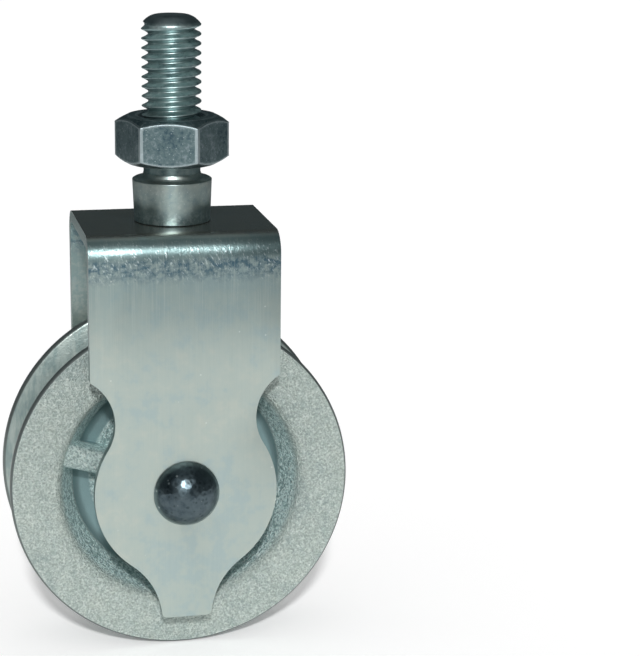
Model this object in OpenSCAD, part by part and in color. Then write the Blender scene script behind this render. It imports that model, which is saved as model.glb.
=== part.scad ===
// Cable pulley: a grooved cast wheel in a bent strap that swivels on a threaded stud.
// The origin is on the stud's axis at the collar's top face, with +Z up the stud and
// the wheel's axle along Y. The front of the strap faces -Y.

/* [Stud] */
// Crest diameter of the thread
thread_d = 7.85; // [7.2:0.05:8.6]
// Distance between two turns of the thread
pitch = 1.25; // [1:0.05:1.5]
// Height of the stud above the collar
stud_h = 21.45; // [18:0.05:30]
// How much thinner the plain shank is than the thread
shank_less = 0.35; // [0.3:0.05:0.8]
// Diameter of the flat end face of the stud
tip_d = 5.6; // [4:0.1:6]
// Height over which the stud's end rounds off
tip_h = 2.1; // [1:0.1:3]
// Diameter of the stud's head under the strap
head_d = 11; // [9.5:0.1:14]
// Thickness of the stud's head
head_t = 2; // [1:0.1:3]
// Bevel on the lower edge of the stud's head
head_bevel = 0.5; // [0.1:0.1:0.9]

/* [Collar] */
// Height of the collar
collar_h = 5.6; // [4:0.1:9]
// Diameter of the collar at its foot
collar_foot_d = 10.05; // [9:0.05:13]
// Diameter of the collar at its top
collar_top_d = 10.5; // [9.4:0.05:13]
// Bevel on the collar's top edge
collar_bevel = 0.3; // [0.1:0.05:0.5]

/* [Nut] */
// Width of the nut across its flats
nut_af = 13; // [12:0.1:17]
// Height of the nut
nut_h = 6.3; // [5:0.1:8]
// Height of the nut above the collar as stored
nut_lift = 2.05; // [0.5:0.05:4]
// Turn of the nut's flats as stored, in degrees
nut_turn = -12; // [-30:1:30]
// How much narrower the round faces of the nut are than its flats
nut_face_less = 1.2; // [0.4:0.1:2]

/* [Strap] */
// Width of the strap
strap_w = 25; // [22:0.5:34]
// Thickness of the strap's sheet
strap_t = 1.5; // [1:0.1:3]
// Outer radius of the strap's two bends
bend_r = 3; // [2.5:0.1:5]
// Width of the leg at its neck
neck_w = 18.6; // [16:0.1:20]
// Radius of the hollow on each side of the neck
neck_hollow_r = 6.8; // [5:0.1:8]
// Radius of the round part of the leg about the axle
belly_r = 12.1; // [11:0.1:14]
// Width of the tail at the leg's lower end
tail_w = 6.6; // [5:0.1:9]
// Radius of the hollow on each side of the tail
tail_hollow_r = 10; // [8:0.1:13]
// Depth of the tail below the axle
tail_drop = 17.3; // [15:0.1:19]

/* [Wheel] */
// Outside diameter of the wheel
wheel_d = 45.5; // [42:0.5:56]
// Width of the wheel's rim
rim_w = 13.4; // [12.4:0.1:16]
// Radius of the groove's round bottom
groove_r = 4.6; // [3.5:0.1:5]
// Depth of the groove
groove_depth = 7.75; // [6:0.05:9]
// Width of the turned land on top of each flange
land_w = 0.7; // [0.4:0.1:0.9]
// Radius between the land and the flange's side
lip_r = 0.7; // [0.2:0.1:0.9]
// Thickness of metal under the groove
under_groove = 2.4; // [1.5:0.1:4]
// How far the recess widens from the web to the flange's side
recess_flare = 3.7; // [2.5:0.1:4.5]
// Thickness of the web
web_t = 3.4; // [2.5:0.1:5]
// Radius of the fillets in the recess
recess_fillet = 2; // [1:0.1:2.4]
// Diameter of the hub at its ends
hub_end_d = 12.6; // [11:0.1:14]
// Diameter of the hub where it meets the web
hub_foot_d = 14; // [12.8:0.1:16]
// Length of the hub
hub_l = 18.4; // [16:0.1:24]
// Bevel on the hub's ends
hub_bevel = 0.3; // [0.1:0.1:0.6]
// Width of the rib between the hub and the rim
rib_w = 3.1; // [2:0.1:5]
// Depth of the rib's face below the flange's side
rib_sink = 0.9; // [0.3:0.1:2]
// Angle of the rib as stored, from +X towards +Z
rib_angle = 164; // [0:1:359]

/* [Axle] */
// Diameter of the rivet's shank
rivet_d = 5; // [4:0.1:6]
// Diameter of the rivet's round heads
rivet_head_d = 8.75; // [8:0.05:10.5]
// Height of the rivet's heads
rivet_head_h = 3; // [2:0.1:3.6]
// Outside diameter of the tube that the wheel turns on
tube_d = 8; // [7:0.1:9]

/* [Room and clearances] */
// Room for the cable between the wheel and the top of the strap
cable_room = 10.35; // [8:0.05:16]
// Gap between the hub and each leg
hub_gap = 0.3; // [0.1:0.05:0.6]
// Radial gap between the wheel's bore and the tube
wheel_clearance = 0.08; // [0.02:0.01:0.1]
// Radial gap between the strap's hole and the stud
swivel_clearance = 0.1; // [0.02:0.01:0.1]
// Gap above and below the strap's top on the stud
swivel_play = 0.05; // [0.01:0.01:0.1]
// Radial gap between the nut's bore and the crests
nut_clearance = 0.06; // [0.02:0.01:0.1]
// Radial gap between the rivet and the holes round it
rivet_clearance = 0.05; // [0.02:0.01:0.1]

/* [Hidden] */
$fn = 96;

// The thread has the form of a metric one: flanks of 60 degrees and an eighth for a crest
flank_angle = 30;
thread_depth = 0.6134 * pitch;
crest_land = pitch / 8;
thread_r = thread_d / 2;
root_r = thread_r - thread_depth;
shank_r = (thread_d - shank_less) / 2;
nut_top_z = nut_lift + nut_h;
// The last crest comes just under the stud's end, and the first just inside the nut, so
// the neck above the collar is plain
last_turn_z = stud_h - 0.9 * pitch;
turns = floor((stud_h - nut_lift) / pitch) - 1;
first_turn_z = last_turn_z - turns * pitch;

plate_z = -collar_h - swivel_play;
plate_under_z = plate_z - strap_t;
head_z = plate_under_z - swivel_play;
leg_in_y = hub_l / 2 + hub_gap;
leg_out_y = leg_in_y + strap_t;
bend_in_r = bend_r - strap_t;

wheel_r = wheel_d / 2;
axle_z = plate_under_z - cable_room - wheel_r;
groove_root_r = wheel_r - groove_depth;
groove_centre_r = groove_root_r + groove_r;
web_out_r = groove_root_r - under_groove;
recess_r = web_out_r + recess_flare;
bore_r = tube_d / 2 + wheel_clearance;
land_in_y = rim_w / 2 - lip_r - land_w;
tail_z = axle_z - tail_drop;

// How far the hollows reach into the round of the leg, so that they meet in a clean edge
bite = 0.02;
neck_x = neck_w / 2 + neck_hollow_r;
neck_z = axle_z + sqrt(pow(belly_r + neck_hollow_r - bite, 2) - pow(neck_x, 2));
tail_x = tail_w / 2 + tail_hollow_r;
tail_hollow_z = axle_z - sqrt(pow(belly_r + tail_hollow_r - bite, 2) - pow(tail_x, 2));

// A unit vector from a towards b
function towards(a, b) = (b - a) / norm(b - a);

// The points of a round of radius r, in place of the corner b between a and c
function corner(a, b, c, r, steps = 6) =
    let (u = towards(b, a), v = towards(b, c),
         half = acos(u * v) / 2,
         centre = b + towards([0, 0], u + v) * r / sin(half),
         from = b + u * r / tan(half) - centre,
         to = b + v * r / tan(half) - centre,
         sweep = 180 - 2 * half,
         way = sign(from[0] * to[1] - from[1] * to[0]))
    [for (i = [0:steps])
        let (t = way * sweep * i / steps)
        centre + [from[0] * cos(t) - from[1] * sin(t), from[0] * sin(t) + from[1] * cos(t)]];

// One turn of the thread as a ring, from its lower root to its upper root. Crests that
// the nut covers come to an edge, so the free thread above the nut is one seat.
function turn(i) =
    let (z = first_turn_z + i * pitch,
         land = z > nut_top_z ? crest_land : 0,
         flank = thread_depth * tan(flank_angle))
    [[root_r, z - land / 2 - flank], [thread_r, z - land / 2],
     [thread_r, z + land / 2], [root_r, z + land / 2 + flank]];

module stud() {
    foot_z = head_z - head_t;
    shank_top_z = first_turn_z - pitch / 2;
    // The rounded end passes this point, two thirds of its height up
    tip_mid = [(2 * thread_r + tip_d / 2) / 3, stud_h - tip_h / 3];
    profile = concat(
        [[0, foot_z], [head_d / 2 - head_bevel, foot_z], [head_d / 2, foot_z + head_bevel],
         [head_d / 2, head_z], [shank_r, head_z], [shank_r, shank_top_z]],
        [for (i = [0:turns]) each turn(i)],
        [[root_r, stud_h], [0, stud_h]]);
    color("#8fa3a3")
        rotate_extrude() intersection() {
            polygon(profile);
            polygon([[0, foot_z], [head_d, foot_z], [head_d, head_z], [thread_r, head_z],
                     [thread_r, stud_h - tip_h], tip_mid, [tip_d / 2, stud_h], [0, stud_h]]);
        }
}

module collar() {
    foot_r = collar_foot_d / 2;
    top_r = collar_top_d / 2;
    color("#93a5a5")
        rotate_extrude()
            polygon([[shank_r, -collar_h], [foot_r, -collar_h],
                     [top_r, -collar_bevel], [top_r - collar_bevel, 0], [shank_r, 0]]);
}

module hex_nut() {
    across_corners = nut_af / cos(30);
    face_r = (nut_af - nut_face_less) / 2;
    // The bevels are cut by cones that end outside the corners
    cone_r = across_corners / 2 + 1;
    bevel = (cone_r - face_r) * tan(30);
    bore = thread_r + nut_clearance;
    mouth = pitch / 2;
    color("#6f8181")
        translate([0, 0, nut_lift]) difference() {
            intersection() {
                rotate(nut_turn) cylinder(d = across_corners, h = nut_h, $fn = 6);
                rotate_extrude()
                    polygon([[0, 0], [face_r, 0], [cone_r, bevel], [cone_r, nut_h - bevel],
                             [face_r, nut_h], [0, nut_h]]);
            }
            translate([0, 0, -1]) cylinder(r = bore, h = nut_h + 2);
            cylinder(r1 = bore + mouth, r2 = bore, h = mouth);
            translate([0, 0, nut_h - mouth]) cylinder(r1 = bore, r2 = bore + mouth, h = mouth);
        }
}

// The strap seen along X: a flat top, two bends and two legs
module bent_sheet() {
    difference() {
        bent_outline(leg_out_y, bend_r, plate_z);
        bent_outline(leg_in_y, bend_in_r, plate_under_z);
    }
}

module bent_outline(half, r, top_z) {
    foot_z = tail_z - strap_t;
    for (side = [-1, 1])
        translate([side * (half - r), top_z - r]) circle(r);
    translate([r - half, top_z - 2 * r]) square([2 * (half - r), 2 * r]);
    translate([-half, foot_z]) square([2 * half, top_z - r - foot_z]);
}

// The strap seen along Y: wide, then drawn in at the neck, round at the axle, and a tail
module leg_outline() {
    difference() {
        union() {
            polygon([[strap_w / 2, plate_z], [-strap_w / 2, plate_z], [-strap_w / 2, neck_z],
                     [-neck_x, neck_z], [0, axle_z], [neck_x, neck_z], [strap_w / 2, neck_z]]);
            translate([0, axle_z]) circle(belly_r);
            polygon([[-tail_x, tail_hollow_z], [tail_x, tail_hollow_z], [0, axle_z]]);
        }
        for (side = [-1, 1]) {
            translate([side * neck_x, neck_z]) circle(neck_hollow_r);
            translate([side * tail_x, tail_hollow_z]) circle(tail_hollow_r);
        }
        translate([-tail_x, tail_z - strap_w]) square([2 * tail_x, strap_w]);
    }
    if (tail_z < tail_hollow_z)
        translate([-tail_w / 2, tail_z]) square([tail_w, tail_hollow_z - tail_z]);
}

module strap_yoke() {
    color("#7e9490")
        difference() {
            intersection() {
                translate([-strap_w / 2, 0, 0]) rotate([90, 0, 90])
                    linear_extrude(strap_w) bent_sheet();
                translate([0, leg_out_y + 1, 0]) rotate([90, 0, 0])
                    linear_extrude(2 * leg_out_y + 2) leg_outline();
            }
            translate([0, 0, plate_under_z - 1])
                cylinder(r = shank_r + swivel_clearance, h = strap_t + 2);
            translate([0, 0, axle_z]) rotate([90, 0, 0])
                cylinder(r = rivet_d / 2 + rivet_clearance, h = 2 * leg_out_y + 2, center = true);
        }
}

// The wheel's section on one side of its middle, as radius and distance from the middle
module wheel_half() {
    face_y = rim_w / 2;
    end_y = hub_l / 2;
    web_y = web_t / 2;
    hub_end = [hub_end_d / 2, end_y - hub_bevel];
    hub_foot = [hub_foot_d / 2, web_y];
    web_out = [web_out_r, web_y];
    recess_edge = [recess_r, face_y];
    difference() {
        polygon(concat(
            [[bore_r, 0], [bore_r, end_y], [hub_end_d / 2 - hub_bevel, end_y], hub_end],
            corner(hub_end, hub_foot, web_out, recess_fillet),
            corner(hub_foot, web_out, recess_edge, recess_fillet),
            [recess_edge],
            corner(recess_edge, [wheel_r, face_y], [wheel_r, 0], lip_r),
            [[wheel_r, 0]]));
        translate([groove_centre_r, 0]) circle(groove_r);
        polygon([[groove_centre_r, 0], [wheel_r + 1, 0], [wheel_r + 1, land_in_y],
                 [wheel_r, land_in_y], [groove_centre_r, groove_r]]);
    }
}

// The rib runs from inside the hub to inside the rim's wall, on both sides of the web
module rib() {
    top_y = rim_w / 2 - rib_sink;
    inner_x = (bore_r + hub_end_d / 2) / 2;
    middle_x = (web_out_r + groove_root_r) / 2;
    rotate([0, -rib_angle, 0])
        translate([0, 0, -rib_w / 2]) linear_extrude(rib_w)
            polygon([[inner_x, -top_y], [recess_r, -top_y], [middle_x, 0],
                     [recess_r, top_y], [inner_x, top_y]]);
}

module wheel() {
    color("#8c9e9a")
        translate([0, 0, axle_z]) {
            rotate([90, 0, 0]) rotate_extrude() {
                wheel_half();
                mirror([0, 1]) wheel_half();
            }
            rib();
        }
}

module axle_rivet() {
    cap_r = (pow(rivet_head_h, 2) + pow(rivet_head_d / 2, 2)) / (2 * rivet_head_h);
    color("#3b4a55")
        translate([0, 0, axle_z]) {
            rotate([90, 0, 0]) cylinder(d = rivet_d, h = 2 * leg_out_y, center = true);
            for (side = [-1, 1])
                intersection() {
                    translate([0, side * (leg_out_y + rivet_head_h - cap_r), 0]) sphere(cap_r);
                    translate([-cap_r, side > 0 ? leg_out_y : -leg_out_y - 2 * cap_r, -cap_r])
                        cube(2 * cap_r);
                }
        }
}

module axle_tube() {
    color("#9aa8a6")
        translate([0, 0, axle_z]) rotate([90, 0, 0]) difference() {
            cylinder(d = tube_d, h = 2 * leg_in_y, center = true);
            cylinder(r = rivet_d / 2 + rivet_clearance, h = 2 * leg_in_y + 2, center = true);
        }
}

stud();
collar();
hex_nut();
strap_yoke();
wheel();
axle_rivet();
axle_tube();
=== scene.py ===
"""The looks of the cable pulley: every piece modelled in detail over its solid."""

import math

import bmesh
import bpy
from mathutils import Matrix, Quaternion, Vector


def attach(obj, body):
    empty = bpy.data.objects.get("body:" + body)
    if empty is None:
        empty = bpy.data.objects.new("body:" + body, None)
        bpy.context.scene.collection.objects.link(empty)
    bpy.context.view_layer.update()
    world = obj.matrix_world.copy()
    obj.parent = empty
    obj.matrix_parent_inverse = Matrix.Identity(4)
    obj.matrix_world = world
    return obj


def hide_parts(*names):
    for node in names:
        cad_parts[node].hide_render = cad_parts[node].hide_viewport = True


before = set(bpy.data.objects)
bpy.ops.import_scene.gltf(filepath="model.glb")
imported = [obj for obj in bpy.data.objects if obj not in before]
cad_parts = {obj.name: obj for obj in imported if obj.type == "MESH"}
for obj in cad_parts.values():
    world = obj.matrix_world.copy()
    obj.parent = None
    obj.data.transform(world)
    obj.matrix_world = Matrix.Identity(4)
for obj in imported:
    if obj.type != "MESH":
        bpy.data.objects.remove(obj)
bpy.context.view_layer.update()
bpy.ops.object.select_all(action="DESELECT")

MM = 0.001

# Sizes in millimetres and turns in degrees. They are the solids' own, but for three: the
# thread's root is 0.12 deeper here, the dish's edge 0.05 further out and the rib 0.14 wider.
THREAD_R = 3.925
ROOT_R = 3.04
PITCH = 1.25
NECK_R = 3.75
STUD_TOP = 21.45
PLATE_TOP = -5.65
SHEET = 1.5
STRAP_W = 25.0
LEG_OUT = 11.0
BEND_R = 3.0
AXLE_Z = -40.25
HEAD_TOP = -7.2
NUT_Z = 2.05
NUT_H = 6.3
NUT_AF = 13.0
NUT_BORE_R = 3.985
WHEEL_R = 22.75
RIM_HALF = 6.7
HUB_HALF = 9.2
BORE_R = 4.08
DISH_R = 16.35
WEB_HALF = 1.7
GROOVE_AT = 19.6
GROOVE_R = 4.6
RIB_ANGLE = 164.0
RIB_W = 3.24
RIVET_R = 2.5
DOME_R = 4.69
DOME_H = 3.0
HOLE_R = 2.55
TUBE_R = 4.0
TUBE_HALF = 9.5

# The mean height of the casting's grain, which its relief is centred on
GRAIN_MEAN = 0.36

# The stage: degrees round the table and above it, as (azimuth, elevation), and metres
FLASH_AT = (-8.8, 32)
TENT_R = 0.25


# ---------------------------------------------------------------- modelling


def take(obj):
    """Selects this object alone, and works on it."""
    bpy.ops.object.select_all(action="DESELECT")
    bpy.context.view_layer.objects.active = obj
    obj.select_set(True)


def start_editing(obj):
    take(obj)
    bpy.ops.object.mode_set(mode="EDIT")
    bpy.ops.mesh.select_mode(type="VERT")


def stop_editing():
    bpy.ops.object.mode_set(mode="OBJECT")


def face_outwards():
    """Turns all the faces of the mesh being edited outwards."""
    bpy.ops.mesh.select_all(action="SELECT")
    bpy.ops.mesh.normals_make_consistent(inside=False)


def pick(obj, kind, wanted):
    """Selects the vertices, edges or faces of the mesh being edited that are wanted."""
    bpy.ops.mesh.select_mode(type={"verts": "VERT", "edges": "EDGE", "faces": "FACE"}[kind])
    bpy.ops.mesh.select_all(action="DESELECT")
    work = bmesh.from_edit_mesh(obj.data)
    for part in getattr(work, kind):
        if wanted(part):
            part.select_set(True)
    bmesh.update_edit_mesh(obj.data)


def draw_line(name, points, closed=False):
    """A chain of edges through the points, drawn by extruding one vertex along them."""
    bpy.ops.object.select_all(action="DESELECT")
    bpy.ops.mesh.primitive_plane_add(size=MM)
    obj = bpy.context.object
    obj.name = obj.data.name = name
    start_editing(obj)
    bpy.ops.mesh.merge(type="CENTER")
    bpy.ops.transform.translate(value=points[0])
    for here, there in zip(points, points[1:]):
        bpy.ops.mesh.extrude_region_move(TRANSFORM_OT_translate={"value": there - here})
    if closed:
        bpy.ops.mesh.select_all(action="SELECT")
        pick(obj, "verts", lambda v: len(v.link_edges) == 1)
        bpy.ops.mesh.edge_face_add()
    stop_editing()
    return obj


def lathe(name, outline, steps=128, closed=False, axis="Z", height=0.0, start=0.0, sectors=None):
    """Turns an outline of (radius, distance along the axis) round Z, or round the axle."""
    a = math.radians(start)
    if axis == "Z":
        points = [Vector((r * math.cos(a), r * math.sin(a), s)) * MM for r, s in outline]
        centre, about = (0, 0, 0), (0, 0, 1)
    else:
        points = [Vector((r * math.cos(a), s, height + r * math.sin(a))) * MM for r, s in outline]
        centre, about = (0, 0, height * MM), (0, -1, 0)
    obj = draw_line(name, points, closed)
    start_editing(obj)
    bpy.ops.mesh.select_all(action="SELECT")
    for count, degrees in sectors or [(steps, 360.0)]:
        bpy.ops.mesh.spin(steps=count, angle=math.radians(degrees), center=centre, axis=about)
    bpy.ops.mesh.select_all(action="SELECT")
    bpy.ops.mesh.remove_doubles(threshold=0.002 * MM)
    bpy.ops.mesh.normals_make_consistent(inside=False)
    stop_editing()
    return obj


def apply(obj, kind, **settings):
    """Adds a modifier with these settings and applies it."""
    take(obj)
    mod = obj.modifiers.new(kind.lower(), kind)
    for key, value in settings.items():
        setattr(mod, key, value)
    bpy.ops.object.modifier_apply(modifier=mod.name)


def cut(obj, tool, way="DIFFERENCE"):
    """Cuts the object with a tool, which is then thrown away."""
    apply(obj, "BOOLEAN", object=tool, operation=way, solver="EXACT")
    bpy.data.objects.remove(tool)


def smooth(obj, degrees=35.0):
    """Shades the piece smooth, but for edges that turn more than this."""
    take(obj)
    bpy.ops.object.shade_smooth_by_angle(angle=math.radians(degrees))


def arc(centre, r, a0, a1, count):
    """Points on a round, from one angle to another in degrees."""
    turns = [math.radians(a0 + (a1 - a0) * i / count) for i in range(count + 1)]
    return [(centre[0] + r * math.cos(t), centre[1] + r * math.sin(t)) for t in turns]


def rounded(points, radii, count=4, closed=True):
    """The outline with each corner that has a radius replaced by a round."""
    out = []
    for i, (here, r) in enumerate(zip(points, radii)):
        if not r:
            out.append(here)
            continue
        p = Vector(here)
        u = (Vector(points[i - 1]) - p).normalized()
        v = (Vector(points[(i + 1) % len(points)]) - p).normalized()
        half = u.angle(v) / 2
        reach = r / math.tan(half)
        c = p + (u + v).normalized() * (r / math.sin(half))
        a, b = p + u * reach - c, p + v * reach - c
        sweep = math.pi - 2 * half
        side = 1 if a.x * b.y - a.y * b.x > 0 else -1
        for k in range(count + 1):
            t = side * sweep * k / count
            out.append((c.x + a.x * math.cos(t) - a.y * math.sin(t),
                        c.y + a.x * math.sin(t) + a.y * math.cos(t)))
    return out


# ---------------------------------------------------------------- pieces


def make_stud():
    """The rolled thread as a true helix, the plain shank and the flat head."""
    # A crest stands at this height at this turn, and 14 turns are below it
    crest_z = 19.53 - PITCH * (171.2 / 360)
    base = crest_z - 14 * PITCH - PITCH / 2
    thread_end, run_out = 19.98, 0.4
    form = [(ROOT_R, 0.0), (ROOT_R + 0.02, 0.05), (ROOT_R + 0.09, 0.11), (ROOT_R + 0.2, 0.165),
            (THREAD_R - 0.29, 0.335), (THREAD_R - 0.16, 0.375), (THREAD_R - 0.07, 0.415),
            (THREAD_R - 0.015, 0.46)]
    form += [(r, 1 - s) for r, s in reversed(form)]
    line = [Vector((r, 0, base + s * PITCH)) * MM for r, s in form]
    rod = draw_line("stud_thread", line)
    apply(rod, "SCREW", axis="Z", angle=2 * math.pi, steps=80, render_steps=80, iterations=18,
          screw_offset=PITCH * MM, use_merge_vertices=True, merge_threshold=0.002 * MM)
    start_editing(rod)
    bpy.ops.mesh.select_all(action="SELECT")
    bpy.ops.mesh.remove_doubles(threshold=0.002 * MM)
    stop_editing()
    # The last groove runs out, and the end above it is plain
    for v in rod.data.vertices:
        x, y, z = (c / MM for c in v.co)
        turn = math.atan2(y, x) / (2 * math.pi) % 1
        groove = base + (round((z - base) / PITCH - turn) + turn) * PITCH
        t = min(1.0, max(0.0, (groove - thread_end) / run_out))
        r = math.hypot(x, y)
        grown = (r + (THREAD_R - r) * t * t * (3 - 2 * t)) / r
        v.co.x *= grown
        v.co.y *= grown
    start_editing(rod)
    for z, side in ((2.25, 1), (STUD_TOP + 0.8, -1)):
        bpy.ops.mesh.select_all(action="SELECT")
        bpy.ops.mesh.bisect(plane_co=(0, 0, z * MM), plane_no=(0, 0, side), use_fill=True,
                            clear_inner=True, clear_outer=False, threshold=0.0001 * MM)
    face_outwards()
    stop_editing()
    # The rolled end: the crests run out on a round nose
    flat_r, reach, drop = 1.6, 2.35, 1.28
    nose = [(flat_r + reach * u, STUD_TOP - 0.02 - drop * u ** 2.4)
            for u in (i / 16 for i in range(17))]
    envelope = lathe("stud_nose", [(0, 2.3), (4.2, 2.3), (4.2, 19.4)] + list(reversed(nose))
                     + [(0, STUD_TOP)], steps=120)
    cut(rod, envelope, "INTERSECT")
    smooth(rod, 50)
    shank = lathe("stud_shank", rounded(
        [(0, HEAD_TOP - 2), (5.5, HEAD_TOP - 2), (5.5, HEAD_TOP), (NECK_R, HEAD_TOP),
         (NECK_R, 2.1), (3.1, 2.6), (0, 2.6)],
        [0, 0.5, 0.2, 0.15, 0.15, 0, 0]), steps=96)
    smooth(shank)
    return rod, shank


def make_collar():
    """The collar, wider at its top, with the ring that was staked round its mouth."""
    outline = rounded(
        [(NECK_R + 0.02, -5.6), (5.06, -5.6), (5.08, -4.2), (5.25, -0.12), (5.12, -0.03),
         (5.0, 0.03), (4.86, -0.03), (4.5, -0.04), (4.12, 0.12), (3.9, 0.38), (NECK_R + 0.03, 0.8),
         (NECK_R + 0.01, 0.8)],
        [0, 0.1, 3, 0.1, 0.05, 0.06, 0.06, 0.4, 0.3, 0.3, 0, 0])
    collar = lathe("collar_ring", outline, steps=128, closed=True)
    smooth(collar, 40)
    return collar


def make_nut():
    """A cold-formed hex nut: rounded corners, bevelled ends, a bore with countersinks."""
    # Counted from Blender's first corner, which points along Y: the solid's is -12 from X
    turn = 18
    corner = NUT_AF / math.cos(math.radians(30)) / 2
    bpy.ops.object.select_all(action="DESELECT")
    bpy.ops.mesh.primitive_cylinder_add(
        vertices=6, radius=corner * MM, depth=NUT_H * MM,
        location=(0, 0, (NUT_Z + NUT_H / 2) * MM), rotation=(0, 0, math.radians(turn)))
    nut = bpy.context.object
    nut.name = nut.data.name = "nut_body"
    bpy.ops.object.transform_apply(location=True, rotation=True, scale=True)
    top, low = NUT_Z + NUT_H, NUT_Z
    face = 5.8
    drop = (corner + 1 - face) * math.tan(math.radians(28))
    form = lathe("nut_form", rounded(
        [(0, low), (face, low), (corner + 1, low + drop), (corner + 1, top - drop),
         (face, top), (0, top)], [0, 0.3, 0, 0, 0.3, 0]), steps=180)
    cut(nut, form, "INTERSECT")
    bore = lathe("nut_bore", [
        (0, low - 1), (4.75 + 1, low - 1), (NUT_BORE_R, low + 0.75),
        (NUT_BORE_R, top - 0.6), (4.6 + 1, top + 1), (0, top + 1)], steps=96)
    cut(nut, bore)
    apply(nut, "BEVEL", width=0.36 * MM, segments=4, limit_method="ANGLE",
          angle_limit=math.radians(24), use_clamp_overlap=True)
    smooth(nut, 30)
    apply(nut, "WEIGHTED_NORMAL", keep_sharp=True, weight=100)
    return nut


def leg_edge():
    """The right-hand edge of a leg from its top down, as (x, z).

    It curves in to a neck, out round the axle, and in again to the tail."""
    neck_x, neck_r, belly_r, tail_x, tail_r, tail_drop = 16.1, 6.8, 12.1, 13.3, 10.0, 17.3
    neck_z = AXLE_Z + math.sqrt((belly_r + neck_r) ** 2 - neck_x ** 2)
    tail_z = AXLE_Z - math.sqrt((belly_r + tail_r) ** 2 - tail_x ** 2)
    end_z = AXLE_Z - tail_drop
    lean = math.degrees(math.atan2(neck_z - AXLE_Z, neck_x))
    low = math.degrees(math.atan2(tail_z - AXLE_Z, tail_x))
    shoulder = math.degrees(math.acos((STRAP_W / 2 - neck_x) / neck_r))
    foot = math.degrees(math.asin((end_z - tail_z) / tail_r))
    points = arc((neck_x, neck_z), neck_r, shoulder, 180 + lean, 22)
    points += arc((0, AXLE_Z), belly_r, lean, low, 36)[1:]
    points += arc((tail_x, tail_z), tail_r, 180 + low, 180 - foot, 18)[1:]
    return points


def make_strap():
    """A blank cut from strip, its rim eased, then folded twice into a U."""
    unfold = LEG_OUT - BEND_R + math.pi * BEND_R / 2 + PLATE_TOP - BEND_R
    right = [(x, unfold - z) for x, z in leg_edge()]
    left = [(-x, s) for x, s in reversed(right)]
    side = right + left
    outline = rounded(side + [(-x, -s) for x, s in side],
                      [0.6 if i % len(side) in (len(right) - 1, len(right)) else 0
                       for i in range(2 * len(side))], count=3)
    strap = draw_line("strap_sheet", [Vector((x, s, 0)) * MM for x, s in outline], closed=True)
    start_editing(strap)
    bpy.ops.mesh.select_all(action="SELECT")
    bpy.ops.mesh.edge_face_add()
    bpy.ops.mesh.extrude_region_move(TRANSFORM_OT_translate={"value": (0, 0, -SHEET * MM)})
    face_outwards()
    stop_editing()
    for s, r in ((0, NECK_R + 0.1), (unfold - AXLE_Z, HOLE_R), (AXLE_Z - unfold, HOLE_R)):
        bpy.ops.object.select_all(action="DESELECT")
        bpy.ops.mesh.primitive_cylinder_add(vertices=64, radius=r * MM, depth=6 * MM,
                                            location=(0, s * MM, 0))
        cut(strap, bpy.context.object)
    apply(strap, "BEVEL", width=0.3 * MM, segments=3, limit_method="ANGLE",
          angle_limit=math.radians(40), use_clamp_overlap=True)
    # The cut edge keeps a finish of its own
    strap.data.materials.append(None)
    strap.data.materials.append(None)
    for face in strap.data.polygons:
        face.material_index = 1 if abs(face.normal.z) < 0.35 else 0
    # Lines across the blank where it bends, and a few down the legs
    flat = LEG_OUT - BEND_R
    bent = math.pi * BEND_R / 2
    lines = [flat + bent * i / 12 for i in range(13)]
    lines += [flat + bent + down for down in (1, 2, 3.5, 5.5, 8)]
    start_editing(strap)
    for s in lines:
        for side in (-1, 1):
            bpy.ops.mesh.select_all(action="SELECT")
            bpy.ops.mesh.bisect(plane_co=(0, side * s * MM, 0), plane_no=(0, 1, 0),
                                threshold=0.001 * MM)
    stop_editing()
    settle = 0.05
    for v in strap.data.vertices:
        x, s, depth = (c / MM for c in v.co)
        side, run = math.copysign(1, s), abs(s)
        if run <= flat:
            y, z = run, PLATE_TOP + depth
        elif run <= flat + bent:
            a = (run - flat) / BEND_R
            y = flat + (BEND_R + depth) * math.sin(a)
            z = PLATE_TOP - BEND_R + (BEND_R + depth) * math.cos(a)
        else:
            # The sheet eases out of the bend over the first millimetres of the leg
            ease = settle * math.exp(-(run - flat - bent) / 3.0)
            y = LEG_OUT + depth - settle + ease
            z = PLATE_TOP - BEND_R - (run - flat - bent)
        v.co = Vector((x, side * y, z)) * MM
    start_editing(strap)
    face_outwards()
    stop_editing()
    smooth(strap, 25)
    return strap


def wheel_section():
    """The wheel's section on +Y: bore, hub, dished web, rim's face, land and groove."""
    groove = arc((GROOVE_AT, 0.0), GROOVE_R, 95, 180, 20)
    side = rounded(
        [(BORE_R, 6.0), (BORE_R, HUB_HALF), (6.3, HUB_HALF), (7.0, WEB_HALF), (13.8, WEB_HALF),
         (DISH_R, 6.66), (22.66, RIM_HALF), (WHEEL_R, 5.22), groove[0]],
        [0, 0.25, 0.5, 3.6, 1.5, 1.3, 0.6, 0.6, 0], count=8)
    return side + groove[1:]


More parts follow.
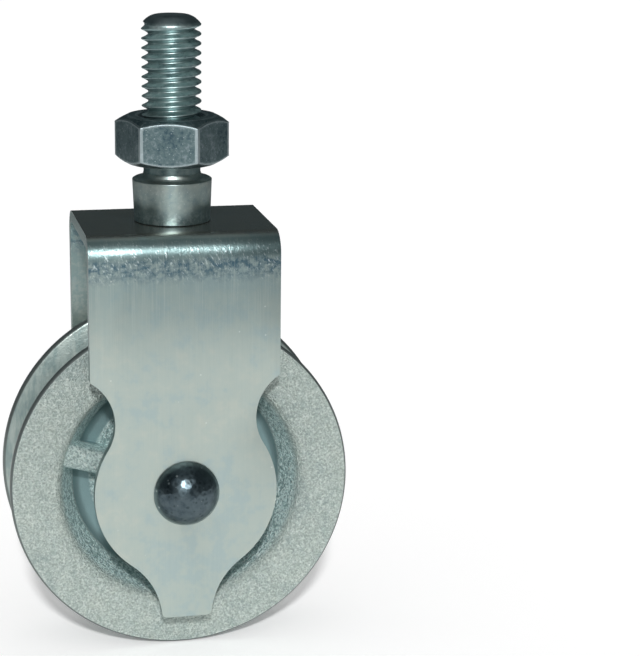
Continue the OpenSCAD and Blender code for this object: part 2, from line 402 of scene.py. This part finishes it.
def make_wheel():
    """The casting: turned round the axle, with a rib across the dish on each side."""
    half = wheel_section()
    outline = half + [(r, -y) for r, y in reversed(half[:-1])]
    wheel = lathe("wheel_casting", outline, steps=200, closed=True, axis="Y", height=AXLE_Z)
    along = Vector((math.cos(math.radians(RIB_ANGLE)), 0, math.sin(math.radians(RIB_ANGLE))))
    across = Vector((-along.z, 0, along.x))
    for side in (-1, 1):
        profile = [(5.4, 1.0), (14.8, 1.0), (16.6, 5.78), (12.0, 5.6), (7.5, 5.8), (5.4, 6.2)]
        points = [along * run + across * (RIB_W / 2) + Vector((0, side * y, AXLE_Z))
                  for run, y in profile]
        rib = draw_line("rib", [p * MM for p in points], closed=True)
        start_editing(rib)
        bpy.ops.mesh.select_all(action="SELECT")
        bpy.ops.mesh.edge_face_add()
        bpy.ops.mesh.extrude_region_move(TRANSFORM_OT_translate={"value": across * -RIB_W * MM})
        face_outwards()
        pick(rib, "edges", lambda e: abs((e.verts[0].co - e.verts[1].co).dot(across)) < 0.1 * MM
             and min(abs(v.co.y) for v in e.verts) > 5 * MM)
        bpy.ops.mesh.bevel(offset=0.7 * MM, offset_type="OFFSET", segments=5, affect="EDGES")
        stop_editing()
        cut(wheel, rib, "UNION")
    smooth(wheel, 40)
    return wheel


def make_rivet():
    """The axle rivet with its two round heads."""
    head = arc((0, LEG_OUT + DOME_H - DOME_R), DOME_R, 90, 90 - 68.5, 14)
    half = [(max(0.0, r), y) for r, y in head[:-1]]
    half += [(4.36, 11.15), (4.3, LEG_OUT), (RIVET_R, LEG_OUT)]
    rivet = lathe("rivet_round", half + [(r, -y) for r, y in reversed(half)],
                  steps=96, axis="Y", height=AXLE_Z)
    smooth(rivet, 50)
    return rivet


def make_tube():
    """The tube that the wheel turns on, with eased ends."""
    wall = [(HOLE_R, -TUBE_HALF), (TUBE_R, -TUBE_HALF), (TUBE_R, TUBE_HALF), (HOLE_R, TUBE_HALF)]
    tube = lathe("tube_drawn", rounded(wall, [0.15] * 4), steps=96, closed=True, axis="Y",
                 height=AXLE_Z)
    smooth(tube)
    return tube


# ---------------------------------------------------------------- finishes


def node(tree, kind, inputs=None, **settings):
    """Adds a node. Each input is given a value, or the socket that it takes it from."""
    made = tree.nodes.new(kind)
    for key, value in settings.items():
        setattr(made, key, value)
    for key, value in (inputs or {}).items():
        if isinstance(value, bpy.types.NodeSocket):
            tree.links.new(value, made.inputs[key])
        else:
            made.inputs[key].default_value = value
    return made


def maths(tree, operation, a, b=None):
    made = node(tree, "ShaderNodeMath", {0: a}, operation=operation)
    if isinstance(b, bpy.types.NodeSocket):
        tree.links.new(b, made.inputs[1])
    elif b is not None:
        made.inputs[1].default_value = b
    return made.outputs[0]


def times(tree, a, b):
    return maths(tree, "MULTIPLY", a, b)


def fade(tree, value, zero_at, one_at):
    """A soft step from 0 to 1 as the value goes from one number to the other."""
    low, high = sorted((zero_at, one_at))
    ends = (0.0, 1.0) if zero_at < one_at else (1.0, 0.0)
    return node(tree, "ShaderNodeMapRange", {
        "Value": value, "From Min": low, "From Max": high, "To Min": ends[0], "To Max": ends[1]},
        interpolation_type="SMOOTHSTEP").outputs["Result"]


def mixed(tree, amount, a, b):
    """One colour mixed into another."""
    return node(tree, "ShaderNodeMix", {0: amount, 6: a, 7: b}, data_type="RGBA").outputs[2]


def new_group(name, inputs, outputs):
    """A node group with these named inputs and outputs; gives its tree, its inputs and its end."""
    tree = bpy.data.node_groups.new(name, "ShaderNodeTree")
    for label, kind, value in inputs:
        socket = tree.interface.new_socket(label, in_out="INPUT", socket_type="NodeSocket" + kind)
        if value is not None:
            socket.default_value = value
    for label, kind in outputs:
        tree.interface.new_socket(label, in_out="OUTPUT", socket_type="NodeSocket" + kind)
    return tree, node(tree, "NodeGroupInput").outputs, node(tree, "NodeGroupOutput").inputs


def scaled(tree, place, size):
    """A place measured in units of this size."""
    per = maths(tree, "DIVIDE", 1.0, size)
    return node(tree, "ShaderNodeVectorMath", {0: place, "Scale": per},
                operation="SCALE").outputs["Vector"]


def cloudy(tree, place, size, detail=4.0, rough=0.6):
    return node(tree, "ShaderNodeTexNoise", {
        "Vector": scaled(tree, place, size), "Scale": 1.0, "Detail": detail,
        "Roughness": rough}).outputs["Fac"]


def make_mottle():
    """Passivated zinc: clouds of a dull, a plain and a bright tint. Sizes are in millimetres."""
    tree, given, end = new_group("zinc_mottle", [
        ("Place", "Vector", None), ("Size", "Float", 1.0), ("Dull", "Color", (0.1, 0.15, 0.18, 1)),
        ("Plain", "Color", (0.3, 0.36, 0.34, 1)), ("Bright", "Color", (0.5, 0.56, 0.54, 1))],
        [("Colour", "Color"), ("Cloud", "Float")])
    fine = cloudy(tree, given["Place"], given["Size"], 5.0, 0.65)
    broad = cloudy(tree, given["Place"], times(tree, given["Size"], 6.0), 2.0)
    cloud = maths(tree, "ADD", times(tree, fine, 0.62), times(tree, broad, 0.38))
    colour = mixed(tree, fade(tree, cloud, 0.38, 0.5), given["Dull"], given["Plain"])
    colour = mixed(tree, fade(tree, cloud, 0.5, 0.66), colour, given["Bright"])
    tree.links.new(colour, end["Colour"])
    tree.links.new(cloud, end["Cloud"])
    return tree


def make_specks():
    """Small bright crystals or dark pits, one to a cell of the spacing."""
    tree, given, end = new_group("zinc_specks", [
        ("Place", "Vector", None), ("Spacing", "Float", 1.0), ("Reach", "Float", 0.2)],
        [("Specks", "Float")])
    cells = node(tree, "ShaderNodeTexVoronoi", {
        "Vector": scaled(tree, given["Place"], given["Spacing"]), "Scale": 1.0})
    near = maths(tree, "DIVIDE", cells.outputs["Distance"], given["Reach"])
    tree.links.new(fade(tree, near, 1.0, 0.45), end["Specks"])
    return tree


def make_grain():
    """The sandy skin of a casting: its relief, its pits and its sparkling tops."""
    tree, given, end = new_group("cast_grain", [
        ("Place", "Vector", None), ("Size", "Float", 0.4)],
        [("Relief", "Float"), ("Pits", "Float"), ("Tops", "Float")])
    sand = cloudy(tree, given["Place"], given["Size"], 3.0, 0.7)
    cells = node(tree, "ShaderNodeTexVoronoi", {
        "Vector": scaled(tree, given["Place"], times(tree, given["Size"], 1.1)),
        "Scale": 1.0, "Smoothness": 0.5}, feature="SMOOTH_F1")
    relief = maths(tree, "SUBTRACT", sand, times(tree, cells.outputs["Distance"], 0.35))
    tree.links.new(relief, end["Relief"])
    tree.links.new(fade(tree, relief, 0.36, 0.2), end["Pits"])
    tree.links.new(fade(tree, relief, 0.38, 0.52), end["Tops"])
    return tree


def make_lines():
    """Fine lines left by rolling or turning, across the first direction of the place."""
    tree, given, end = new_group("drawn_lines", [
        ("Place", "Vector", None), ("Width", "Float", 0.15), ("Length", "Float", 12.0)],
        [("Lines", "Float")])
    split = node(tree, "ShaderNodeSeparateXYZ", {"Vector": given["Place"]})
    drawn = node(tree, "ShaderNodeCombineXYZ", {
        "X": maths(tree, "DIVIDE", split.outputs["X"], given["Width"]),
        "Y": maths(tree, "DIVIDE", split.outputs["Y"], given["Length"]),
        "Z": maths(tree, "DIVIDE", split.outputs["Z"], given["Length"])})
    lines = node(tree, "ShaderNodeTexNoise", {
        "Vector": drawn.outputs["Vector"], "Scale": 1.0, "Detail": 3.0, "Roughness": 0.6})
    tree.links.new(lines.outputs["Fac"], end["Lines"])
    return tree


def make_edge_highlights():
    """A mask of the eased edges within a radius in millimetres, for painted highlights."""
    tree, given, end = new_group("edge_highlights", [("Radius", "Float", 0.4)], [("Edges", "Float")])
    eased = node(tree, "ShaderNodeBevel", {
        "Radius": times(tree, given["Radius"], MM)}, samples=10)
    true = node(tree, "ShaderNodeNewGeometry")
    turn = node(tree, "ShaderNodeVectorMath", {0: eased.outputs[0], 1: true.outputs["Normal"]},
                operation="DOT_PRODUCT")
    tree.links.new(fade(tree, turn.outputs["Value"], 0.9997, 0.994), end["Edges"])
    return tree


MOTTLE, SPECKS, GRAIN, LINES, EDGES = (
    make_mottle(), make_specks(), make_grain(), make_lines(), make_edge_highlights())


def use(tree, group, inputs):
    """Places a node group, with its inputs."""
    return node(tree, "ShaderNodeGroup", inputs, node_tree=group).outputs


def new_finish(name, metal):
    """A metal's material; gives its tree, its shader and the place on the piece in millimetres."""
    mat = bpy.data.materials.new(name)
    mat.use_nodes = True
    tree = mat.node_tree
    shader = tree.nodes["Principled BSDF"]
    shader.inputs["Metallic"].default_value = metal
    where = node(tree, "ShaderNodeTexCoord").outputs["Object"]
    place = node(tree, "ShaderNodeMapping", {"Vector": where, "Scale": (1000, 1000, 1000)})
    return mat, tree, shader, place.outputs["Vector"]


def finish(tree, shader, colour, rough, height, depth):
    """Joins a colour, a roughness and a relief of this depth in millimetres to the shader."""
    tree.links.new(colour, shader.inputs["Base Color"])
    tree.links.new(rough, shader.inputs["Roughness"])
    bump = node(tree, "ShaderNodeBump", {"Height": height, "Distance": depth * MM,
                                         "Strength": 1.0})
    tree.links.new(bump.outputs["Normal"], shader.inputs["Normal"])


def spread(tree, value, low, high):
    """A value from 0 to 1 spread from low to high."""
    return maths(tree, "ADD", times(tree, value, high - low), low)


def axes(tree, place):
    """The place's three directions."""
    split = node(tree, "ShaderNodeSeparateXYZ", {"Vector": place})
    return [split.outputs[k] for k in "XYZ"]


def away(tree, a, b):
    """The distance from an axis, from the two directions across it."""
    return maths(tree, "SQRT", maths(tree, "ADD", maths(tree, "POWER", a, 2.0),
                                     maths(tree, "POWER", b, 2.0)))


def across(tree, place, order):
    """The place with its directions in another order, so that lines run as wanted."""
    parts = axes(tree, place)
    return node(tree, "ShaderNodeCombineXYZ", {
        "X": parts[order[0]], "Y": parts[order[1]], "Z": parts[order[2]]}).outputs["Vector"]


def stud_finish():
    """Bright zinc on the rolled thread, with a blue cast."""
    mat, tree, shader, place = new_finish("stud_zinc", 1.0)
    tint = use(tree, MOTTLE, {"Place": place, "Size": 0.9, "Dull": (0.32, 0.42, 0.43, 1),
                              "Plain": (0.53, 0.67, 0.66, 1), "Bright": (0.78, 0.89, 0.87, 1)})
    specks = use(tree, SPECKS, {"Place": place, "Spacing": 0.8, "Reach": 0.18})["Specks"]
    z = axes(tree, place)[2]
    facing = axes(tree, node(tree, "ShaderNodeNewGeometry").outputs["Normal"])[2]
    # Painted shade: the flanks that face down are darkened
    underside_shade = fade(tree, facing, 0.12, -0.15)
    nose = fade(tree, z, 20.0, 20.7)
    colour = mixed(tree, times(tree, specks, 0.5), tint["Colour"], (0.8, 0.86, 0.83, 1))
    colour = mixed(tree, times(tree, underside_shade, 0.7), colour, (0.15, 0.23, 0.24, 1))
    # Painted dark reflection: the rolled nose is darkened
    colour = mixed(tree, times(tree, nose, 0.75), colour, (0.11, 0.13, 0.15, 1))
    finish(tree, shader, colour, spread(tree, tint["Cloud"], 0.3, 0.5), tint["Cloud"], 0.04)
    return mat


def collar_finish():
    """Turned zinc with faint upright lines, blue at the foot and warm near the top."""
    mat, tree, shader, place = new_finish("collar_zinc", 1.0)
    z = axes(tree, place)[2]
    tint = use(tree, MOTTLE, {"Place": place, "Size": 0.7, "Dull": (0.32, 0.42, 0.43, 1),
                              "Plain": (0.41, 0.50, 0.48, 1), "Bright": (0.54, 0.61, 0.58, 1)})
    specks = use(tree, SPECKS, {"Place": place, "Spacing": 0.5, "Reach": 0.2})["Specks"]
    upright = use(tree, LINES, {"Place": place, "Width": 0.16, "Length": 0.16})["Lines"]
    lines = use(tree, LINES, {"Place": across(tree, place, (2, 0, 1)), "Width": 0.12,
                              "Length": 6.0})["Lines"]
    colour = mixed(tree, times(tree, fade(tree, z, -3.2, -5.0), 0.35),
                   tint["Colour"], (0.20, 0.36, 0.42, 1))
    colour = mixed(tree, times(tree, fade(tree, z, -1.8, -0.4), 0.22),
                   colour, (0.45, 0.44, 0.38, 1))
    worn = times(tree, fade(tree, cloudy(tree, place, 0.45, 4.0, 0.7), 0.46, 0.6),
                 fade(tree, z, -3.4, -4.6))
    colour = mixed(tree, times(tree, worn, 0.55), colour, (0.66, 0.76, 0.76, 1))
    colour = mixed(tree, times(tree, specks, 0.4), colour, (0.8, 0.86, 0.84, 1))
    height = maths(tree, "ADD", times(tree, lines, 0.5),
                   maths(tree, "ADD", times(tree, upright, 0.25), tint["Cloud"]))
    finish(tree, shader, colour, spread(tree, tint["Cloud"], 0.34, 0.44), height, 0.02)
    return mat


def nut_finish():
    """Blue-grey zinc, mottled on the flats, with painted highlights on the edges and corners."""
    mat, tree, shader, place = new_finish("nut_zinc", 1.0)
    tint = use(tree, MOTTLE, {"Place": place, "Size": 0.45, "Dull": (0.07, 0.115, 0.14, 1),
                              "Plain": (0.135, 0.195, 0.205, 1), "Bright": (0.25, 0.31, 0.33, 1)})
    specks = use(tree, SPECKS, {"Place": place, "Spacing": 0.45, "Reach": 0.2})["Specks"]
    x, y = axes(tree, place)[:2]
    r = away(tree, x, y)
    # Painted highlights on the eased edges and on the hex's corners
    edges = maths(tree, "MAXIMUM", use(tree, EDGES, {"Radius": 0.45})["Edges"],
                  fade(tree, r, 7.27, 7.33))
    colour = mixed(tree, times(tree, specks, 0.5), tint["Colour"], (0.6, 0.68, 0.72, 1))
    colour = mixed(tree, times(tree, edges, 0.55), colour, (0.60, 0.68, 0.70, 1))
    finish(tree, shader, colour, spread(tree, tint["Cloud"], 0.28, 0.6), tint["Cloud"], 0.06)
    return mat


def strap_finish():
    """Satin zinc on rolled strip with faint lines. Below the bend: blue patches, partly the
    plating's tint and partly painted dark reflection, and painted glints. Painted shade and dark
    reflection on the plate's top, across the bend and on the legs' tops and inner faces.
    """
    mat, tree, shader, place = new_finish("strap_zinc", 0.95)
    y, z = axes(tree, place)[1:]
    tint = use(tree, MOTTLE, {"Place": place, "Size": 2.4, "Dull": (0.40, 0.49, 0.485, 1),
                              "Plain": (0.45, 0.52, 0.485, 1), "Bright": (0.495, 0.545, 0.495, 1)})
    lines = use(tree, LINES, {"Place": place, "Width": 0.1, "Length": 9.0})["Lines"]
    few = use(tree, SPECKS, {"Place": place, "Spacing": 2.6, "Reach": 0.06})["Specks"]
    patches = cloudy(tree, place, 0.75, 5.0, 0.7)
    slant = node(tree, "ShaderNodeMapping", {"Vector": place, "Rotation": (0, math.radians(28), 0)})
    flecks = use(tree, LINES, {"Place": slant.outputs["Vector"], "Width": 0.22,
                               "Length": 0.62})["Lines"]
    leg = fade(tree, z, -5.7, -7.5)
    bend = times(tree, fade(tree, z, -7.9, -9.0), fade(tree, z, -12.4, -10.0))
    inside = times(tree, fade(tree, maths(tree, "ABSOLUTE", y), 10.1, 9.7), leg)
    below = times(tree, fade(tree, z, -25.0, -10.0), leg)
    clouds = fade(tree, cloudy(tree, place, 1.0, 5.0, 0.7), 0.38, 0.62)
    bend_tint_and_dark_reflection = times(tree, bend, clouds)
    top = fade(tree, z, -6.2, -5.7)
    # Painted shade: the legs' tops are darker and bluer-green
    colour = mixed(tree, times(tree, below, 0.6), tint["Colour"], (0.19, 0.27, 0.28, 1))
    # Below the bend, blue patches: partly the plating's tint, partly a painted dark reflection
    colour = mixed(tree, times(tree, bend_tint_and_dark_reflection, 0.85), colour, (0.035, 0.10, 0.15, 1))
    # Painted dark reflection: the plate's top is dark and warm
    colour = mixed(tree, times(tree, top, 0.7), colour, (0.225, 0.20, 0.175, 1))
    # Painted shade across the bend, which dims its highlight
    bend_shade = times(tree, fade(tree, z, -5.9, -6.4), fade(tree, z, -9.2, -8.0))
    colour = mixed(tree, times(tree, bend_shade, 0.8), colour, (0.14, 0.215, 0.22, 1))
    worn = spread(tree, below, 0.05, 0.17)
    colour = mixed(tree, times(tree, fade(tree, lines, 0.5, 0.68), worn),
                   colour, (0.62, 0.67, 0.62, 1))
    colour = mixed(tree, times(tree, fade(tree, lines, 0.48, 0.32), worn),
                   colour, (0.22, 0.30, 0.30, 1))
    # Painted shade in patches on the legs' inner faces, between leg and wheel
    inner_face_shade = times(tree, inside, fade(tree, patches, 0.42, 0.58))
    colour = mixed(tree, times(tree, inner_face_shade, 0.45), colour, (0.2, 0.31, 0.31, 1))
    # Painted glints: white flecks on the legs near and below the bend
    near_bend = times(tree, fade(tree, z, -13.0, -8.5), leg)
    sparkle = times(tree, fade(tree, flecks, 0.58, 0.7), times(tree, near_bend, 0.65))
    colour = mixed(tree, sparkle, colour, (0.8, 0.9, 0.92, 1))
    colour = mixed(tree, times(tree, few, 0.4), colour, (0.8, 0.84, 0.8, 1))
    pebbled = times(tree, maths(tree, "ADD", patches, flecks),
                    spread(tree, near_bend, 0.18, 1.15))
    height = maths(tree, "ADD", times(tree, lines, 0.3), pebbled)
    rough = maths(tree, "SUBTRACT", spread(tree, tint["Cloud"], 0.3, 0.44),
                  times(tree, top, 0.12))
    finish(tree, shader, colour, rough, height, 0.028)
    return mat


def sheared_finish():
    """The strip's cut edge: paler and torn into short grains."""
    mat, tree, shader, place = new_finish("sheared_zinc", 0.85)
    grain = use(tree, GRAIN, {"Place": place, "Size": 0.3})
    edges = use(tree, EDGES, {"Radius": 0.3})["Edges"]
    colour = mixed(tree, times(tree, grain["Pits"], 0.6), (0.23, 0.30, 0.29, 1),
                   (0.14, 0.19, 0.19, 1))
    colour = mixed(tree, times(tree, grain["Tops"], 0.3), colour, (0.52, 0.59, 0.57, 1))
    # Painted highlights along the cut edge's eased rims
    colour = mixed(tree, times(tree, edges, 0.3), colour, (0.60, 0.66, 0.64, 1))
    finish(tree, shader, colour, spread(tree, grain["Relief"], 0.4, 0.6), grain["Relief"], 0.04)
    return mat


def wheel_finish():
    """Zinc-plated casting: sandy on its faces and in the dish, turned smooth in the groove."""
    mat, tree, shader, place = new_finish("wheel_zinc", 0.8)
    own = node(tree, "ShaderNodeVectorMath", {0: place, 1: (0, 0, AXLE_Z)}, operation="SUBTRACT")
    x, y, z = axes(tree, own.outputs["Vector"])
    r = away(tree, x, z)
    high = maths(tree, "ABSOLUTE", y)
    web = times(tree, fade(tree, high, 3.2, 2.3),
                times(tree, fade(tree, r, 14.4, 13.9), fade(tree, r, 11.2, 12.0)))
    hub = fade(tree, r, 7.6, 7.1)
    # The groove is marked by its distance from its own centre, so that it stops at the dish
    off = maths(tree, "SUBTRACT", r, GROOVE_AT)
    bottom = maths(tree, "SQRT", maths(tree, "ADD", times(tree, off, off),
                                       times(tree, high, high)))
    groove = maths(tree, "MAXIMUM", fade(tree, bottom, 4.95, 4.75),
                   times(tree, fade(tree, r, 17.0, 17.3), fade(tree, high, 6.2, 5.9)))
    flank = times(tree, groove, fade(tree, r, 17.5, 19.5))
    lip = times(tree, fade(tree, r, 22.3, 22.45), fade(tree, high, 6.66, 6.58))
    even = maths(tree, "MAXIMUM", maths(tree, "MAXIMUM", web, groove), lip)
    grain = use(tree, GRAIN, {"Place": place, "Size": 0.25})
    coarse = use(tree, GRAIN, {"Place": place, "Size": 0.5})
    tint = use(tree, MOTTLE, {"Place": place, "Size": 1.8, "Dull": (0.45, 0.53, 0.51, 1),
                              "Plain": (0.53, 0.605, 0.57, 1), "Bright": (0.58, 0.645, 0.60, 1)})
    turned = use(tree, LINES, {"Place": across(tree, place, (1, 0, 2)), "Width": 0.22,
                               "Length": 9.0})["Lines"]
    rings = cloudy(tree, node(tree, "ShaderNodeMapping", {
        "Vector": place, "Scale": (1.0, 1.0, 0.25)}).outputs["Vector"], 0.9, 4.0, 0.65)
    # The dish is bluer than the faces, and its pits are deeper. Its skin is also painted paler,
    # as painted light in the recess, and tealer, as the painted colour of its shade.
    deep = fade(tree, high, 6.5, 4.9)
    skin = mixed(tree, deep, tint["Colour"], (0.68, 0.84, 0.83, 1))
    pits = maths(tree, "MAXIMUM", grain["Pits"], times(tree, coarse["Pits"], deep))
    pit_tint = mixed(tree, deep, (0.2, 0.26, 0.24, 1), (0.15, 0.27, 0.27, 1))
    skin = mixed(tree, times(tree, pits, spread(tree, deep, 0.42, 0.7)), skin, pit_tint)
    tops = maths(tree, "MAXIMUM", grain["Tops"], coarse["Tops"])
    skin = mixed(tree, times(tree, tops, 0.5), skin, (0.84, 0.90, 0.85, 1))
    streaks = mixed(tree, fade(tree, turned, 0.35, 0.65), (0.38, 0.47, 0.48, 1),
                    (0.58, 0.65, 0.62, 1))
    flank_tint = mixed(tree, fade(tree, rings, 0.35, 0.65), (0.18, 0.25, 0.24, 1),
                       (0.36, 0.42, 0.39, 1))
    smooth_skin = mixed(tree, times(tree, flank, 0.75), streaks, flank_tint)
    smooth_skin = mixed(tree, web, smooth_skin, (0.23, 0.34, 0.35, 1))
    # Painted dark reflection: the rim's outer edge and land are dark
    smooth_skin = mixed(tree, lip, smooth_skin, (0.15, 0.175, 0.17, 1))
    colour = mixed(tree, even, skin, smooth_skin)
    sharp = maths(tree, "SUBTRACT", grain["Relief"], GRAIN_MEAN)
    broad = maths(tree, "SUBTRACT", coarse["Relief"], GRAIN_MEAN)
    sand = maths(tree, "ADD", sharp, times(tree, broad, spread(tree, deep, 0.7, 1.4)))
    height = maths(tree, "ADD", times(tree, sand, spread(tree, even, 1.0, 0.05)),
                   times(tree, times(tree, turned, groove), 0.1))
    polish = maths(tree, "ADD", times(tree, groove, 0.16), times(tree, hub, 0.1))
    rough = maths(tree, "SUBTRACT", spread(tree, grain["Relief"], 0.5, 0.62), polish)
    finish(tree, shader, colour, rough, height, 0.25)
    return mat


def rivet_finish():
    """Dark blue-black zinc, hammered into small dimples when the head was set."""
    mat, tree, shader, place = new_finish("rivet_zinc", 1.0)
    dimples = node(tree, "ShaderNodeTexVoronoi", {
        "Vector": scaled(tree, place, 0.75), "Scale": 1.0, "Smoothness": 0.3},
        feature="SMOOTH_F1").outputs["Distance"]
    tint = use(tree, MOTTLE, {"Place": place, "Size": 1.1, "Dull": (0.06, 0.085, 0.10, 1),
                              "Plain": (0.09, 0.12, 0.135, 1), "Bright": (0.12, 0.16, 0.175, 1)})
    specks = use(tree, SPECKS, {"Place": place, "Spacing": 1.3, "Reach": 0.16})["Specks"]
    y = axes(tree, place)[1]
    dimple_shade = fade(tree, dimples, 0.34, 0.14)
    brim_reflection = fade(tree, maths(tree, "ABSOLUTE", y), 12.0, 11.3)
    # Painted shade in the dimples' hollows
    colour = mixed(tree, times(tree, dimple_shade, 0.5), tint["Colour"], (0.025, 0.04, 0.045, 1))
    # Painted reflection: the brim by the strap is paler
    colour = mixed(tree, times(tree, brim_reflection, 0.6), colour, (0.34, 0.42, 0.43, 1))
    colour = mixed(tree, times(tree, specks, 0.7), colour, (0.6, 0.66, 0.68, 1))
    height = maths(tree, "ADD", dimples, times(tree, tint["Cloud"], 0.15))
    finish(tree, shader, colour, spread(tree, tint["Cloud"], 0.27, 0.38), height, 0.06)
    return mat


def hidden_finish(name, colour):
    """Plain zinc with light mottling, for the shank and the tube behind."""
    mat, tree, shader, place = new_finish(name, 1.0)
    r, g, b = colour
    tint = use(tree, MOTTLE, {"Place": place, "Size": 0.9, "Dull": (r * 0.6, g * 0.7, b * 0.72, 1),
                              "Plain": (r, g, b, 1), "Bright": (r * 1.4, g * 1.3, b * 1.25, 1)})
    lines = use(tree, LINES, {"Place": across(tree, place, (2, 0, 1)), "Width": 0.12,
                              "Length": 6.0})["Lines"]
    height = maths(tree, "ADD", tint["Cloud"], times(tree, lines, 0.6))
    finish(tree, shader, tint["Colour"], spread(tree, tint["Cloud"], 0.22, 0.5), height, 0.02)
    return mat


def dress(obj, mats, body, slot, *nodes):
    """Gives a piece its finishes, its body and the solids that it stands for. Its slot is not used.
    """
    for i, mat in enumerate(mats):
        if i < len(obj.data.materials):
            obj.data.materials[i] = mat
        else:
            obj.data.materials.append(mat)
    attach(obj, body)
    if nodes:
        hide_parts(*nodes)


rod, shank = make_stud()
collar = make_collar()
nut = make_nut()
strap = make_strap()
wheel = make_wheel()
rivet = make_rivet()
tube = make_tube()

dress(rod, [stud_finish()], "stud_body", "stud_steel", "stud")
dress(shank, [hidden_finish("shank_zinc", (0.24, 0.32, 0.32))], "stud_body", "stud_steel")
dress(collar, [collar_finish()], "stud_body", "collar_steel", "collar")
dress(nut, [nut_finish()], "nut_body", "nut_steel", "hex_nut")
dress(strap, [strap_finish(), sheared_finish()], "yoke_body", "strap_steel", "strap_yoke")
dress(wheel, [wheel_finish()], "wheel_body", "wheel_cast", "wheel")
dress(rivet, [rivet_finish()], "yoke_body", "rivet_steel", "axle_rivet")
dress(tube, [hidden_finish("tube_zinc", (0.33, 0.38, 0.37))], "yoke_body", "tube_steel",
      "axle_tube")


# ---------------------------------------------------------------- stage


def seen_as_background(tree):
    """1 where a surface is seen by the lens, in metal or through glass, and 0 as light."""
    seen = node(tree, "ShaderNodeLightPath").outputs
    pale = maths(tree, "MAXIMUM", seen["Is Camera Ray"], seen["Is Glossy Ray"])
    return maths(tree, "MAXIMUM", pale, seen["Is Transmission Ray"])


def add_floor():
    """A pale table, level with the bottom of the wheel."""
    bpy.ops.object.select_all(action="DESELECT")
    bpy.ops.mesh.primitive_plane_add(size=30, location=(0, 0, (AXLE_Z - WHEEL_R - 0.02) * MM))
    floor = bpy.context.object
    floor.name = "floor"
    mat = bpy.data.materials.new("pale_floor")
    mat.use_nodes = True
    shader = mat.node_tree.nodes["Principled BSDF"]
    shader.inputs["Base Color"].default_value = (0.96, 0.96, 0.96, 1)
    shader.inputs["Roughness"].default_value = 1.0
    shader.inputs["Specular IOR Level"].default_value = 0.0
    # The lens and bright metal see the table a little paler than its paint
    tree = mat.node_tree
    tree.links.new(times(tree, seen_as_background(tree), 0.09),
                   shader.inputs["Emission Strength"])
    shader.inputs["Emission Color"].default_value = (1, 1, 1, 1)
    floor.data.materials.append(mat)


def add_tent():
    """A grey studio tent round the table, with a bright window above the lens.

    Only reflections show it. It hides the white wall from them, so the metal shows the tent."""
    bpy.ops.object.select_all(action="DESELECT")
    bpy.ops.mesh.primitive_uv_sphere_add(segments=96, ring_count=48, radius=TENT_R,
                                         location=(0, 0, (AXLE_Z - WHEEL_R) * MM))
    tent = bpy.context.object
    tent.name = "tent"
    start_editing(tent)
    pick(tent, "verts", lambda v: v.co.z < -0.001)
    bpy.ops.mesh.delete(type="VERT")
    stop_editing()
    tent.visible_camera = tent.visible_diffuse = tent.visible_shadow = False
    mat = bpy.data.materials.new("tent_cloth")
    mat.use_nodes = True
    tree = mat.node_tree
    tree.nodes.clear()
    where = node(tree, "ShaderNodeTexCoord").outputs["Object"]
    turned = node(tree, "ShaderNodeMapping", {
        "Vector": where, "Rotation": (0, 0, math.radians(-FLASH_AT[0]))})
    x, y, z = axes(tree, turned.outputs["Vector"])
    aside = maths(tree, "ARCTAN2", maths(tree, "ABSOLUTE", x), times(tree, y, -1.0))
    up = maths(tree, "DIVIDE", z, TENT_R)
    window = times(tree, fade(tree, aside, math.radians(17), math.radians(7)),
                   fade(tree, up, 0.8, 0.5))
    off_side = maths(tree, "ABSOLUTE", maths(tree, "SUBTRACT", aside, math.radians(88)))
    sides = times(tree, fade(tree, off_side, math.radians(16), math.radians(4)),
                  fade(tree, up, 0.7, 0.4))
    top = fade(tree, up, 0.93, 0.965)
    light = maths(tree, "ADD", times(tree, window, 0.85),
                  maths(tree, "ADD", times(tree, sides, 0.12), times(tree, top, 0.22)))
    tint = mixed(tree, light, (0.045, 0.062, 0.066, 1), (0.95, 1.0, 0.99, 1))
    glow = node(tree, "ShaderNodeEmission", {"Color": tint, "Strength": 1.0})
    node(tree, "ShaderNodeOutputMaterial", {"Surface": glow.outputs[0]})
    tent.data.materials.append(mat)


def add_flash():
    """A soft flash above the lens."""
    data = bpy.data.lights.new("flash", "SUN")
    data.angle = math.radians(4.2)
    data.energy = 2.5
    lamp = bpy.data.objects.new("flash", data)
    bpy.context.collection.objects.link(lamp)
    lamp.rotation_euler = toward(*FLASH_AT).to_track_quat("Z", "Y").to_euler()


def toward(azimuth, elevation):
    """The direction from the object to a place round it, from angles in degrees."""
    a, e = math.radians(azimuth), math.radians(elevation)
    return Vector((math.sin(a) * math.cos(e), -math.cos(a) * math.cos(e), math.sin(e)))


def add_camera():
    """The photograph's left view: the pulley stands in the left half of the frame."""
    # Solved from the photograph: pixels, millimetres and degrees
    focal, long_side = 2117.8, 656
    aim, distance, roll = (0, 0, -21.65), 285.43, 0.694
    data = bpy.data.cameras.new("camera")
    data.sensor_width = 36.0
    data.lens = focal * 36 / long_side
    data.clip_start, data.clip_end = 0.01, 50
    camera = bpy.data.objects.new("camera", data)
    bpy.context.collection.objects.link(camera)
    camera.location = (Vector(aim) + toward(-8.824, 14.515) * distance) * MM
    turned = toward(-12.925, 14.283).to_track_quat("Z", "Y")
    rolled = Quaternion((0, 0, 1), math.radians(roll))
    camera.rotation_euler = (turned @ rolled).to_euler()
    bpy.context.scene.camera = camera


def add_world():
    """A white wall behind the table for the lens, and even grey light from all round."""
    world = bpy.context.scene.world or bpy.data.worlds.new("studio")
    bpy.context.scene.world = world
    world.use_nodes = True
    tree = world.node_tree
    tree.links.new(mixed(tree, seen_as_background(tree), (0.55, 0.55, 0.55, 1), (1, 1, 1, 1)),
                   tree.nodes["Background"].inputs["Color"])


add_floor()
add_tent()
add_flash()
add_camera()
add_world()
bpy.context.scene.view_settings.view_transform = "Standard"
